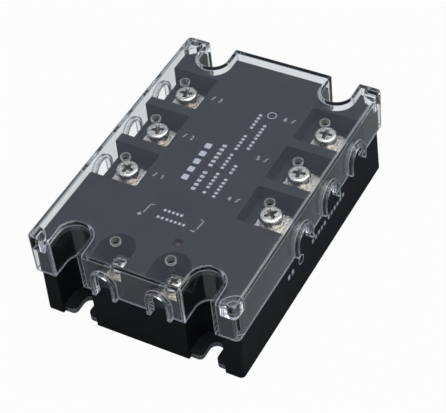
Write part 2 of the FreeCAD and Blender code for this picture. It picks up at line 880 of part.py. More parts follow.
def make_spring_washer(name, across, along, seat):
    """A split spring washer pressed flat, with a slanting gap at one side."""
    body = make_body(name)
    height, gap = cell("spring_washer_height"), cell("spring_washer_gap")
    ring = Sketch(body, name + "_ring")
    ring.circle(0, 0, cell("spring_washer_radius"))
    ring.circle(0, 0, cell("washer_bore_radius"))
    pad(body, ring, height, name + "_ring_pad")
    split = Sketch(body, name + "_split", "XZ_Plane")
    split.polygon([(-gap * 2, -height), (-gap, -height), (gap, height * 2), (0, height * 2)])
    cut(body, split, name + "_split_cut", length=cell("spring_washer_radius") + gap, backward=True)
    set_place(body, across, along, seat)


def make_square_washer(name, across, along, seat):
    """A square clamping washer with rounded corners."""
    body = make_body(name)
    width, height = cell("square_washer_width"), cell("square_washer_height")
    outline = Sketch(body, name + "_outline")
    outline.box(0, 0, width, width)
    outline.circle(0, 0, cell("washer_bore_radius"))
    pad(body, outline, height, name + "_pad")
    soften(body, name + "_corners", height, is_upright)
    soften(body, name + "_rim", height * 0.3, lambda edge: is_outer_rim(edge, height))
    set_place(body, across, along, seat)


def make_round_washer(name, across, along, seat):
    """A plain round washer."""
    body = make_body(name)
    height = cell("input_washer_height")
    outline = Sketch(body, name + "_outline")
    outline.circle(0, 0, cell("input_washer_radius"))
    outline.circle(0, 0, cell("input_washer_bore_radius"))
    pad(body, outline, height, name + "_pad")
    soften(body, name + "_rim", height * 0.3, lambda edge: is_outer_rim(edge, height))
    set_place(body, across, along, seat)


def is_outer_rim(edge, height):
    """Whether an edge belongs to the outside outline of a washer's upper face."""
    box = edge.BoundBox
    reach = max(abs(box.XMin), abs(box.XMax), abs(box.YMin), abs(box.YMax))
    return is_level(edge, height) and reach > DIMENSIONS["washer_bore_radius"] + 0.3


def make_nuts(name, prefix, places, floor):
    """The hexagon nuts that lie captive under one size of terminal."""
    body = make_body(name)
    height = cell(prefix + "_nut_height")
    outline = Sketch(body, name + "_outline", offset=floor - height)
    for across, along in places:
        outline.hexagon(across, along, cell(prefix + "_nut_flats"))
        outline.circle(across, along, cell(prefix + "_screw_radius") + cell("running_gap"))
    pad(body, outline, height, name + "_pad")


# ---------------------------------------------------------------- terminals


def make_strap(name, across, along, angle):
    """A power terminal bent from strip: the clamping tab, the leg into the block and its foot."""
    body = make_body(name)
    thick, floor = cell("strap_thickness"), cell("well_floor")
    outer = cell("strap_outer") - cell("terminal_across")
    leg_outer = cell("strap_leg_outer") - cell("terminal_across")
    foot = cell("strap_foot") - cell("terminal_across")
    leg_inner = leg_outer - thick
    bottom = substrate_top - floor
    width = half("strap_width")
    tab = Sketch(body, name + "_tab")
    tab.rectangle(leg_inner, -width, outer, width)
    tab.circle(0, 0, cell("washer_bore_radius"))
    pad(body, tab, thick, name + "_tab_pad")
    leg = Sketch(body, name + "_leg", "XZ_Plane")
    leg.polygon(
        [
            (leg_outer, bottom),
            (leg_outer, thick / 2),
            (leg_inner, thick / 2),
            (leg_inner, bottom + thick),
            (foot, bottom + thick),
            (foot, bottom),
        ]
    )
    pad(body, leg, cell("strap_leg_width"), name + "_leg_pad", both_ways=True)
    soften(body, name + "_bend", thick * 0.8, lambda edge: is_cross_edge(edge, leg_inner, thick))
    soften(
        body,
        name + "_tab_corners",
        thick,
        lambda edge: is_upright(edge) and near(edge.CenterOfMass.x, outer),
    )
    set_place(body, across, along, floor, angle)


def is_cross_edge(edge, across, height):
    """Whether an edge runs straight along Y through this point of the side view."""
    at, box = edge.CenterOfMass, edge.BoundBox
    return near(at.x, across) and near(at.z, height) and near(box.XMin, box.XMax)


def make_input_tab(name, across, along):
    """An input terminal: a flat clamping tab with a narrow lead down to the circuit board."""
    body = make_body(name)
    thick, floor = cell("input_tab_thickness"), cell("input_floor")
    front, back = -cell("input_tab_front") - along, -cell("input_tab_back") - along
    width, lead = half("input_tab_width"), half("input_leg_width")
    tab = Sketch(body, name + "_tab")
    tab.rectangle(-width, front, width, back)
    tab.circle(0, 0, cell("input_washer_bore_radius"))
    pad(body, tab, thick, name + "_tab_pad")
    leg = Sketch(body, name + "_lead")
    leg.rectangle(-lead, back - thick, lead, back)
    length = floor - cell("board_underside")
    pad(body, leg, length, name + "_lead_pad", backward=True)
    set_place(body, across, along, floor)


# ---------------------------------------------------------------- power stage


def make_power_stage(phase):
    """One phase's insulating ceramic and the pair of thyristor dies soldered to it."""
    along = terminal_along(phase)
    ceramic = make_body(f"ceramic_substrate_{phase}")
    outline = Sketch(ceramic, f"ceramic_{phase}_outline", offset=cell("plate_thickness"))
    outline.box(0, along, cell("substrate_length"), cell("substrate_width"))
    pad(ceramic, outline, cell("substrate_thickness"), f"ceramic_{phase}_pad")
    dies = make_body(f"thyristor_dies_{phase}")
    squares = Sketch(dies, f"dies_{phase}_outline", offset=substrate_top)
    for way in (-1, 1):
        across = cell("die_across") * -way
        squares.box(across, along + cell("die_along") * way, cell("die_side"), cell("die_side"))
    pad(dies, squares, cell("die_thickness"), f"dies_{phase}_pad")


def make_bridges():
    """Two copper bridges on each ceramic, from each die's upper face to the opposite track."""
    body = make_body("copper_clips")
    thick = cell("bridge_thickness")
    far_end = cell("strap_foot") - 1.4
    step = cell("die_across") + cell("die_side") / 2
    for phase in PHASES:
        for way in (-1, 1):
            name = f"bridge_{phase}_{'front' if way < 0 else 'back'}"
            along = terminal_along(phase) + cell("die_along") * way
            side = Sketch(body, name, "XZ_Plane", -along)
            side.polygon(
                [
                    (-step * way, die_top),
                    ((step - thick) * way, die_top),
                    ((step - thick) * way, substrate_top),
                    (far_end * way, substrate_top),
                    (far_end * way, substrate_top + thick),
                    (step * way, substrate_top + thick),
                    (step * way, die_top + thick),
                    (-step * way, die_top + thick),
                ]
            )
            pad(body, side, cell("bridge_width"), name + "_pad", both_ways=True)


def pin_places():
    """The (X, Y) of the six gate pins: beside each die, clear of the bridges."""
    return [
        (cell("pin_across") * -way, terminal_along(phase) + cell("pin_along") * way)
        for phase in PHASES
        for way in (-1, 1)
    ]


def make_gate_pins():
    """The pins that carry the gate signals up through the potting to the board."""
    body = make_body("gate_pins")
    outline = Sketch(body, "pin_outline", offset=substrate_top)
    for across, along in pin_places():
        outline.circle(across, along, cell("pin_radius"))
    pad(body, outline, board_top - substrate_top, "pin_pad")


# ---------------------------------------------------------------- circuit board and its parts

# Leads of each kind of part, as (X, Y) offsets from its centre in millimetres.
OPTO_ROW, OPTO_PITCH = 3.81, 2.54
OPTO_LEADS = [(x, OPTO_PITCH * step) for x in (-OPTO_ROW, OPTO_ROW) for step in (-1, 0, 1)]
CAPACITOR_LEADS = [(0.0, -5.0), (0.0, 5.0)]
RESISTOR_LEADS = [(0.0, -7.5), (0.0, 7.5)]
SMALL_LEADS = [(0.0, -5.0), (0.0, 5.0)]
TRANSISTOR_LEADS = [(-1.5, 0.0), (0.0, 0.0), (1.5, 0.0)]
LAMP_LEADS = [(-1.27, 0.0), (1.27, 0.0)]


def board_parts():
    """Every part on the board, as (name, function that makes it, X, Y, leads)."""
    left, middle, right = -cell("opto_across"), cell("resistor_across"), cell("capacitor_across")
    parts = []
    for phase in PHASES:
        along = terminal_along(phase)
        parts.append((f"optocoupler_{phase}", make_optocoupler, left, along, OPTO_LEADS))
        parts.append((f"snubber_resistor_{phase}", make_snubber, middle, along, RESISTOR_LEADS))
        parts.append((f"snubber_capacitor_{phase}", make_capacitor, right, along, CAPACITOR_LEADS))
    front = -cell("input_parts_along")
    parts.append(("input_transistor", make_transistor, left, front, TRANSISTOR_LEADS))
    parts.append(("input_resistor", make_input_resistor, middle, front, SMALL_LEADS))
    parts.append(("reverse_diode", make_diode, right, front + 2, SMALL_LEADS))
    lamp = (cell("lamp_across"), -cell("lamp_along"))
    parts.append(("status_led", make_lamp, *lamp, LAMP_LEADS))
    return parts


def make_board():
    """The circuit board, drilled for every lead and pin and slotted for the input leads."""
    body = make_body("circuit_board")
    outline = Sketch(body, "board_outline", offset=cell("board_underside"))
    outline.box(0, 0, cell("board_width"), cell("board_length"))
    pad(body, outline, cell("board_thickness"), "board_pad")
    holes = Sketch(body, "board_holes", offset=board_top)
    for _, _, across, along, leads in board_parts():
        for x, y in leads:
            holes.circle(across + x, along + y, cell("lead_hole_radius"))
    for across, along in pin_places():
        holes.circle(across, along, cell("pin_radius") + cell("pocket_gap"))
    cut(body, holes, "board_hole_cut")
    slots = Sketch(body, "board_slots", offset=board_top)
    gap, thick = cell("pocket_gap") * 2, cell("input_tab_thickness")
    for across, _ in input_places():
        middle = -(cell("input_tab_back") + thick / 2)
        slots.box(across, middle, cell("input_leg_width") + gap, thick + gap)
    cut(body, slots, "board_slot_cut")


def add_leads(body, name, leads, top):
    """Straight round leads from this height on the part down to the board's underside."""
    outline = Sketch(body, name + "_leads", offset=-cell("board_thickness"))
    for x, y in leads:
        outline.circle(x, y, cell("lead_radius"))
    pad(body, outline, cell("board_thickness") + top, name + "_lead_pad")


def make_optocoupler(name, across, along, leads):
    """A six-pin dual-in-line optocoupler with a pin-one dimple."""
    body = make_body(name)
    shoulder, under, over = sized(2.0), sized(0.5), sized(3.9)
    block = Sketch(body, name + "_block", offset=under)
    block.box(0, 0, 6.4, 8.8)
    pad(body, block, over - under, name + "_block_pad")
    soften(body, name + "_rim", 0.4, lambda edge: is_level(edge, over), "Chamfer")
    dimple = Sketch(body, name + "_dimple", offset=over)
    dimple.circle(-1.9, 3.1, 0.5)
    cut(body, dimple, name + "_dimple_cut", length=0.3)
    tails = Sketch(body, name + "_tails", offset=-cell("board_thickness"))
    arms = Sketch(body, name + "_arms", offset=shoulder)
    for x, y in leads:
        side = math.copysign(1, x)
        tails.box(x, y, 0.3, 0.5)
        arms.box((OPTO_ROW - 0.35) * side, y, 1.0, 0.5)
    pad(body, tails, cell("board_thickness") + shoulder, name + "_tail_pad")
    pad(body, arms, 0.3, name + "_arm_pad")
    set_place(body, across, along, board_top)


def make_capacitor(name, across, along, leads):
    """A boxed film capacitor standing on its two leads."""
    body = make_body(name)
    under, over = sized(0.3), sized(9.3)
    block = Sketch(body, name + "_block", offset=under)
    block.box(0, 0, 5.0, 13.0)
    pad(body, block, over - under, name + "_block_pad")
    soften(
        body,
        name + "_edges",
        0.5,
        lambda edge: is_upright(edge) or is_level(edge, over),
    )
    add_leads(body, name, leads, under * 2)
    set_place(body, across, along, board_top)


def make_axial(name, across, along, leads, radius, length):
    """A round part lying along Y, with its wire leads bent down through the board."""
    body = make_body(name)
    axis = sized(radius) + 0.3
    barrel = Sketch(body, name + "_barrel", "XZ_Plane")
    barrel.circle(0, axis, radius)
    pad(body, barrel, length, name + "_barrel_pad", both_ways=True)
    soften(body, name + "_ends", sized(radius) / 2, lambda edge: near(edge.Length, ring_length(radius)))
    path = Sketch(body, name + "_wire_path", "YZ_Plane")
    pitch = leads[1][1] - leads[0][1]
    path.staple(pitch, -cell("board_thickness"), axis, 0.8)
    section = Sketch(body, name + "_wire_section", offset=-cell("board_thickness"))
    section.circle(leads[0][0], leads[0][1], cell("lead_radius"))
    wire = body.newObject("PartDesign::AdditivePipe", name + "_wire")
    wire.Profile = section.item
    wire.Spine = path.item
    set_place(body, across, along, board_top)


def ring_length(radius):
    """The length of a full circle."""
    return 2 * math.pi * radius


def make_snubber(name, across, along, leads):
    """A power film resistor of the snubber across one phase."""
    make_axial(name, across, along, leads, 2.0, 11.0)


def make_input_resistor(name, across, along, leads):
    """The resistor in series with the input."""
    make_axial(name, across, along, leads, 1.2, 6.4)


def make_diode(name, across, along, leads):
    """The diode that guards the input against a reversed supply."""
    make_axial(name, across, along, leads, 1.3, 5.2)


def make_transistor(name, across, along, leads):
    """A small three-leg transistor with a flat front."""
    body = make_body(name)
    under, over = sized(2.0), sized(6.6)
    case = Sketch(body, name + "_case", offset=under)
    case.circle(0, 0, 2.35)
    pad(body, case, over - under, name + "_case_pad")
    flat = Sketch(body, name + "_flat", offset=under)
    flat.rectangle(-4, -4, 4, -1.2)
    cut(body, flat, name + "_flat_cut", backward=True)
    add_leads(body, name, leads, under + 0.5)
    set_place(body, across, along, board_top)


def make_lamp(name, across, along, leads):
    """The round status lamp, its dome just below the housing's top, on long leads to the board."""
    body = make_body(name)
    top = cell("housing_top") - board_top - cell("lamp_recess")
    flange = cell("cavity_roof") - board_top - 2.2
    radius = cell("lamp_radius")
    barrel = Sketch(body, name + "_barrel", offset=flange)
    barrel.circle(0, 0, radius)
    pad(body, barrel, top - flange, name + "_barrel_pad")
    soften(body, name + "_dome", radius * 0.96, lambda edge: is_level(edge, top))
    rim = Sketch(body, name + "_flange", offset=flange)
    rim.circle(0, 0, radius * 1.16)
    pad(body, rim, 0.9, name + "_flange_pad")
    add_leads(body, name, leads, flange + 0.4)
    set_place(body, across, along, board_top)


# ---------------------------------------------------------------- potting


def make_potting():
    """The resin that fills the lower hollow round the power stage, up to the board's underside."""
    block = make_body("potting_block")
    outline = Sketch(block, "potting_outline", offset=cell("plate_thickness"))
    outline.polygon(lower_hollow_outline())
    pad(block, outline, cell("board_underside") - cell("plate_thickness"), "potting_pad")
    buried = document.addObject("Part::MultiFuse", "buried_pieces")
    buried.Shapes = [document.getObject(name) for name in buried_names()]
    resin = document.addObject("Part::Cut", "potting_compound")
    resin.Base = block
    resin.Tool = buried
    resin.Label = "potting_compound"


def buried_names():
    """The pieces that the resin flows round."""
    names = ["copper_clips", "gate_pins"]
    for phase in PHASES:
        names += [f"ceramic_substrate_{phase}", f"thyristor_dies_{phase}"]
        names += [f"{side}_terminal_{phase}" for side in SIDES]
    return names


# ---------------------------------------------------------------- the whole relay


def make_power_terminals():
    """The six power terminals with their screws and washers, and the nuts below them."""
    for side, sign in SIDES.items():
        across = cell("terminal_across") * sign
        for phase in PHASES:
            along = terminal_along(phase)
            make_strap(f"{side}_terminal_{phase}", across, along, 90 - 90 * sign)
            make_square_washer(f"{side}_square_washer_{phase}", across, along, strap_top)
            name = f"{side}_spring_washer_{phase}"
            make_spring_washer(name, across, along, square_washer_top)
            angle = POWER_SCREW_ANGLES[side, phase]
            name = f"{side}_screw_{phase}"
            make_screw(name, "power", across, along, power_head_seat, angle)
    places = [(across, along) for _, across, along in power_places()]
    make_nuts("terminal_nuts_m4", "power", places, cell("well_floor"))


def make_input_terminals():
    """The two input terminals with their screws and washers, and the nuts below them."""
    for pole, sign in POLES.items():
        across, along = cell("input_across") * sign, -cell("input_along")
        make_input_tab(f"{pole}_input_terminal", across, along)
        make_round_washer(f"{pole}_input_washer", across, along, input_tab_top)
        angle = INPUT_SCREW_ANGLES[pole]
        make_screw(f"{pole}_input_screw", "input", across, along, input_head_seat, angle)
    make_nuts("terminal_nuts_m3", "input", input_places(), cell("input_floor"))


def export_pieces():
    """Checks every object, then writes one STEP file for each piece."""
    document.recompute()
    broken = [item.Name for item in document.Objects if {"Invalid", "Error"} & set(item.State)]
    if broken:
        raise RuntimeError(f"did not recompute: {broken}")
    helpers = {"potting_block"}
    pieces = [
        item
        for item in document.Objects
        if item.TypeId in ("PartDesign::Body", "Part::Cut") and item.Label not in helpers
    ]
    for piece in pieces:
        if piece.Shape.isNull() or not piece.Shape.isValid() or not piece.Shape.Solids:
            raise RuntimeError(f"{piece.Label} has no sound shape")
    os.makedirs("parts", exist_ok=True)
    for piece in pieces:
        piece.Shape.exportStep(f"parts/{piece.Label}.step")
    print(len(pieces), "pieces written")


make_sheet()
make_base_plate()
make_housing()
make_cover()
make_power_terminals()
make_input_terminals()
for phase in PHASES:
    make_power_stage(phase)
make_bridges()
make_gate_pins()
make_board()
for name, make_part, across, along, leads in board_parts():
    make_part(name, across, along, leads)
make_potting()
export_pieces()
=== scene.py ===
"""Three-phase solid state relay: looks, detailed fasteners, printed marks and a studio."""

import json
import math

import bmesh
import bpy
from mathutils import Matrix, Vector


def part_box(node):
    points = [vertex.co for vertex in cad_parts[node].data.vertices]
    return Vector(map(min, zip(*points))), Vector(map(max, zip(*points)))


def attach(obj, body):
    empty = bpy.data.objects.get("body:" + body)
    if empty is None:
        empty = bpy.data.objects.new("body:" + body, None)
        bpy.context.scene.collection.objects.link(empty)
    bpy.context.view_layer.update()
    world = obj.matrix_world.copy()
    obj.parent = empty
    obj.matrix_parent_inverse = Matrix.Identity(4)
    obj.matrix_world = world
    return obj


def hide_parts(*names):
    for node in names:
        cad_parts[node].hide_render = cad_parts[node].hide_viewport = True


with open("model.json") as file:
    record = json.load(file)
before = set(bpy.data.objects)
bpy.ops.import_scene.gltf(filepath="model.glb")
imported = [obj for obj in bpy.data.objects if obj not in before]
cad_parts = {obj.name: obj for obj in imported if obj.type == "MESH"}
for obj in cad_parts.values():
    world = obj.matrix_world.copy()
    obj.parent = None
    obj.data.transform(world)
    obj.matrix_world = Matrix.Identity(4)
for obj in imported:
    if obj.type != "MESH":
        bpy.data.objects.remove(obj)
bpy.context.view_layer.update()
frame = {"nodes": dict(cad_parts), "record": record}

MM = 0.001
NODES = frame["nodes"]
RECORD = frame["record"]
SIDES = ("line", "load")
PHASES = (1, 2, 3)
POLES = ("positive", "negative")


# ---------------------------------------------------------------- material helpers


class Surface:
    """A node material built up one step at a time round a Principled shader."""

    def __init__(self, name, color, roughness, metallic=0.0, specular=0.5):
        self.material = bpy.data.materials.new(name)
        self.material.use_nodes = True
        self.tree = self.material.node_tree
        self.nodes, self.links = self.tree.nodes, self.tree.links
        self.shader = self.nodes["Principled BSDF"]
        self.output = self.nodes["Material Output"]
        self.set("Base Color", (*color, 1.0))
        self.set("Roughness", roughness)
        self.set("Metallic", metallic)
        self.set("Specular IOR Level", specular)
        self.place = self.node("ShaderNodeTexCoord").outputs["Object"]
        self.bumped = None

    def node(self, kind, **settings):
        """A new node with these settings: sockets by name, anything else as attributes."""
        item = self.nodes.new(kind)
        for key, value in settings.items():
            if key in item.inputs:
                if isinstance(value, bpy.types.NodeSocket):
                    self.links.new(value, item.inputs[key])
                else:
                    item.inputs[key].default_value = value
            else:
                setattr(item, key, value)
        return item

    def set(self, socket, value):
        """Sets or links one input of the main shader."""
        if isinstance(value, bpy.types.NodeSocket):
            self.links.new(value, self.shader.inputs[socket])
        else:
            self.shader.inputs[socket].default_value = value

    def stretched(self, scale, turn=(0.0, 0.0, 0.0)):
        """Object coordinates scaled per axis, for grain that runs one way."""
        mapping = self.node("ShaderNodeMapping")
        self.links.new(self.place, mapping.inputs["Vector"])
        mapping.inputs["Scale"].default_value = scale
        mapping.inputs["Rotation"].default_value = turn
        return mapping.outputs["Vector"]

    def noise(self, scale, detail=4.0, roughness=0.55, vector=None, distortion=0.0):
        """The value of a noise texture."""
        item = self.node("ShaderNodeTexNoise", Scale=scale, Detail=detail, Roughness=roughness)
        item.inputs["Distortion"].default_value = distortion
        self.links.new(vector or self.place, item.inputs["Vector"])
        return item.outputs["Fac"]

    def ramp(self, value, low, high, start=0.0, end=1.0):
        """Maps a value from one range to another, smoothly and without overshoot."""
        item = self.node("ShaderNodeMapRange", interpolation_type="SMOOTHSTEP")
        self.links.new(value, item.inputs["Value"])
        item.inputs["From Min"].default_value = low
        item.inputs["From Max"].default_value = high
        item.inputs["To Min"].default_value = start
        item.inputs["To Max"].default_value = end
        return item.outputs["Result"]

    def blend(self, factor, first, second):
        """A colour between two colours."""
        item = self.node("ShaderNodeMix", data_type="RGBA")
        self.links.new(factor, item.inputs["Factor"])
        for key, value in (("A", first), ("B", second)):
            socket = next(s for s in item.inputs if s.name == key and s.type == "RGBA")
            if isinstance(value, bpy.types.NodeSocket):
                self.links.new(value, socket)
            else:
                socket.default_value = (*value, 1.0)
        return next(s for s in item.outputs if s.type == "RGBA")

    def math(self, operation, *values):
        """One arithmetic step."""
        item = self.node("ShaderNodeMath", operation=operation)
        for socket, value in zip(item.inputs, values):
            if isinstance(value, bpy.types.NodeSocket):
                self.links.new(value, socket)
            else:
                socket.default_value = value
        return item.outputs[0]

    def mixed(self, factor, first, second):
        """A shader between two shaders."""
        item = self.node("ShaderNodeMixShader")
        self.links.new(factor, item.inputs[0])
        self.links.new(first.outputs[0], item.inputs[1])
        self.links.new(second.outputs[0], item.inputs[2])
        return item

    def show(self, shader):
        """Makes this shader the material's surface."""
        self.links.new(shader.outputs[0], self.output.inputs["Surface"])

    def bump(self, height, depth, strength=1.0):
        """Adds relief of this depth in metres on top of any so far."""
        item = self.node("ShaderNodeBump", Strength=strength, Distance=depth)
        self.links.new(height, item.inputs["Height"])
        if self.bumped is not None:
            self.links.new(self.bumped, item.inputs["Normal"])
        self.bumped = item.outputs["Normal"]
        self.set("Normal", self.bumped)

    def round_edges(self, radius=0.0002):
        """Shades sharp edges as if they were rounded by this radius in metres."""
        self.bumped = self.node("ShaderNodeBevel", samples=4, Radius=radius).outputs["Normal"]
        self.set("Normal", self.bumped)

    def openness(self, reach=0.0024):
        """How open a point is to its own surroundings, from 0 deep in a recess to 1 in the open."""
        item = self.node("ShaderNodeAmbientOcclusion", samples=8, only_local=True, Distance=reach)
        return item.outputs["AO"]

    def edge_wear(self, reach=0.0004, flat_limit=0.99, full=0.86):
        """How near a point is to a convex edge, from 0 in the flat to 1 on the edge."""
        rounded = self.node("ShaderNodeBevel", samples=6, Radius=reach)
        flat = self.node("ShaderNodeNewGeometry").outputs["Normal"]
        item = self.node("ShaderNodeVectorMath", operation="DOT_PRODUCT")
        self.links.new(rounded.outputs["Normal"], item.inputs[0])
        self.links.new(flat, item.inputs[1])
        return self.ramp(item.outputs["Value"], flat_limit, full)


# ---------------------------------------------------------------- materials


def moulded_black():
    """Black moulded plastic: a fine spark-eroded grain, faint flow marks and rubbed edges."""
    s = Surface("moulded_black", (0.006, 0.0065, 0.008), 0.5, specular=0.28)
    s.round_edges(0.00035)
    grain = s.noise(5200.0, 2.0)
    flow = s.noise(90.0, 3.0, distortion=0.6)
    wear = s.edge_wear()
    edge_band = s.math("MULTIPLY", wear, s.ramp(s.noise(700.0, 5.0), 0.35, 0.7))
    dull = s.blend(s.ramp(flow, 0.3, 0.7), (0.005, 0.0055, 0.007), (0.009, 0.0095, 0.011))
    s.set("Base Color", s.blend(edge_band, dull, (0.03, 0.031, 0.033)))
    s.set("Roughness", s.ramp(flow, 0.25, 0.75, 0.44, 0.58))
    s.bump(grain, 0.00001, 0.25)
    s.bump(flow, 0.00004, 0.15)
    return s.material


def clear_cover():
    """Clear polycarbonate: hairlines, ripple, a painted edge highlight of light frost and frosted
    walls in the probe holes.
    """
    s = Surface("clear_cover", (0.90, 0.92, 0.92), 0.02, specular=0.5)
    s.set("Transmission Weight", 1.0)
    s.set("IOR", 1.52)
    hairlines = s.noise(260.0, 6.0, 0.7, s.stretched((1.0, 14.0, 1.0), (0.0, 0.0, 0.5)))
    s.set("Roughness", s.ramp(hairlines, 0.55, 0.8, 0.015, 0.09))
    s.bump(s.noise(35.0, 2.0), 0.00006, 0.25)
    hole = in_probe_hole(s)
    # Painted highlight: a light frost along every convex edge stands in for the light lines that the
    # rounded edges reflect.
    edge_band = s.math("MULTIPLY", s.edge_wear(0.0008, 0.998, 0.92), 0.6)
    # The frost is light grey on the edges as painted highlight, and darker grey on the probe holes'
    # walls.
    frost_and_edge_highlight_colour = s.blend(hole, (0.58, 0.60, 0.62), (0.22, 0.22, 0.20))
    hole_frost_and_edge_highlight = s.node("ShaderNodeBsdfDiffuse", Color=frost_and_edge_highlight_colour, Roughness=0.6)
    frost_and_highlight_share = s.math("MAXIMUM", s.math("MULTIPLY", hole, 0.8), edge_band)
    frosted_and_highlit = s.mixed(frost_and_highlight_share, s.shader, hole_frost_and_edge_highlight)
    # Shadows and scattered light pass straight through, as they would in thin clear plastic.
    through = s.node("ShaderNodeBsdfTransparent", Color=(0.90, 0.92, 0.92, 1.0))
    rays = s.node("ShaderNodeLightPath")
    soft = s.math("MAXIMUM", rays.outputs["Is Shadow Ray"], rays.outputs["Is Diffuse Ray"])
    s.show(s.mixed(soft, frosted_and_highlit, through))
    return s.material


ROOF_FROM = 32.9 * MM  # just under the cover's roof
POWER_HOLES_WITHIN = (31.0 * MM, 34.0 * MM)  # across and along, for the holes over power screws
INPUT_HOLES_WITHIN = (12.5 * MM, 47.0 * MM)  # the same for the holes over input screws


def in_probe_hole(s):
    """1 on the upright walls of the holes in the cover's roof, 0 elsewhere."""
    place = s.node("ShaderNodeSeparateXYZ")
    s.links.new(s.place, place.inputs[0])
    x, y = (s.math("ABSOLUTE", place.outputs[axis]) for axis in ("X", "Y"))
    facing = s.node("ShaderNodeSeparateXYZ")
    s.links.new(s.node("ShaderNodeNewGeometry").outputs["True Normal"], facing.inputs[0])
    steep = s.math("LESS_THAN", s.math("ABSOLUTE", facing.outputs["Z"]), 0.9)
    in_roof = s.math("GREATER_THAN", place.outputs["Z"], ROOF_FROM)
    regions = [
        s.math("MULTIPLY", s.math("LESS_THAN", x, across), s.math("LESS_THAN", y, along))
        for across, along in (POWER_HOLES_WITHIN, INPUT_HOLES_WITHIN)
    ]
    return s.math("MULTIPLY", s.math("MAXIMUM", *regions), s.math("MULTIPLY", steep, in_roof))


def plated(name, color, roughness, brushed=(1.0, 1.0, 1.0)):
    """Plated metal with draw lines, small scratches, a little tarnish and painted shade in its
    recesses.
    """
    s = Surface(name, color, roughness, metallic=1.0)
    s.round_edges(0.00012)
    lines = s.noise(1500.0, 4.0, 0.6, s.stretched(brushed))
    blotch = s.noise(420.0, 4.0)
    tarnished = tuple(channel * 0.74 for channel in color)
    face = s.blend(s.ramp(blotch, 0.5, 0.8), color, tarnished)
    # Painted shade: recesses go towards a near-black copy of the metal's colour, standing in for the
    # shade that falls in them.
    recess_shade = (color[0] * 0.13, color[1] * 0.105, color[2] * 0.085)
    open_air = s.ramp(s.openness(), 0.5, 0.93)
    s.set("Base Color", s.blend(open_air, recess_shade, face))
    s.set("Roughness", s.ramp(lines, 0.3, 0.7, roughness * 0.75, roughness * 1.5))
    s.bump(lines, 0.000006, 0.25)
    s.bump(s.noise(2600.0, 3.0), 0.000005, 0.2)
    return s.material


def coloured_plastic(name, color, roughness=0.4, mottle=0.25):
    """A plain moulded or lacquered part with slight mottle and grain."""
    s = Surface(name, color, roughness)
    dark = tuple(channel * (1 - mottle) for channel in color)
    s.set("Base Color", s.blend(s.ramp(s.noise(900.0, 5.0), 0.35, 0.7), color, dark))
    s.set("Roughness", s.ramp(s.noise(500.0, 4.0), 0.3, 0.7, roughness * 0.8, roughness * 1.25))
    s.bump(s.noise(4200.0, 2.0), 0.00002, 0.4)
    return s.material


def circuit_board():
    """Green solder mask with slightly raised tracks under it."""
    s = Surface("solder_mask", (0.012, 0.09, 0.045), 0.28)
    cells = s.node("ShaderNodeTexVoronoi", feature="DISTANCE_TO_EDGE", Scale=260.0)
    s.links.new(s.place, cells.inputs["Vector"])
    tracks = s.ramp(cells.outputs["Distance"], 0.12, 0.2)
    s.set("Base Color", s.blend(tracks, (0.02, 0.15, 0.07), (0.008, 0.06, 0.032)))
    s.set("Roughness", s.ramp(s.noise(600.0), 0.3, 0.7, 0.22, 0.4))
    s.bump(tracks, 0.00004, 0.6)
    return s.material


def soft_resin():
    """Dark potting with a slow ripple and a few trapped bubbles."""
    s = Surface("soft_resin", (0.02, 0.02, 0.024), 0.25)
    bubbles = s.node("ShaderNodeTexVoronoi", Scale=500.0)
    s.links.new(s.place, bubbles.inputs["Vector"])
    s.set("Base Color", s.blend(s.noise(150.0), (0.016, 0.016, 0.02), (0.03, 0.03, 0.034)))
    s.set("Roughness", s.ramp(s.noise(200.0), 0.3, 0.7, 0.18, 0.4))
    s.bump(s.noise(120.0), 0.0002, 0.3)
    s.bump(s.ramp(bubbles.outputs["Distance"], 0.05, 0.12), 0.00005, 0.4)
    return s.material


def lamp_lens():
    """A tinted lamp lens, dark while the lamp is off."""
    s = Surface("lamp_lens", (0.035, 0.006, 0.006), 0.14)
    s.set("Transmission Weight", 0.25)
    s.set("IOR", 1.5)
    s.set("Base Color", s.blend(s.noise(900.0), (0.025, 0.005, 0.005), (0.04, 0.007, 0.006)))
    s.set("Roughness", s.ramp(s.noise(1500.0), 0.3, 0.7, 0.08, 0.2))
    return s.material


def ink():
    """White screen-printed ink, thin enough to let a little black through."""
    s = Surface("white_ink", (0.5, 0.51, 0.54), 0.6)
    patchy = s.ramp(s.noise(2400.0, 4.0), 0.42, 0.72)
    s.set("Base Color", s.blend(patchy, (0.55, 0.56, 0.60), (0.27, 0.28, 0.31)))
    s.bump(s.noise(5000.0), 0.00001, 0.4)
    return s.material


def ceramic():
    """White alumina, slightly mottled, with a fine grain."""
    s = Surface("alumina", (0.80, 0.78, 0.72), 0.35)
    s.set("Base Color", s.blend(s.noise(800.0), (0.82, 0.80, 0.74), (0.66, 0.63, 0.56)))
    s.set("Roughness", s.ramp(s.noise(1200.0), 0.3, 0.7, 0.28, 0.5))
    s.bump(s.noise(5000.0), 0.00001, 0.5)
    return s.material


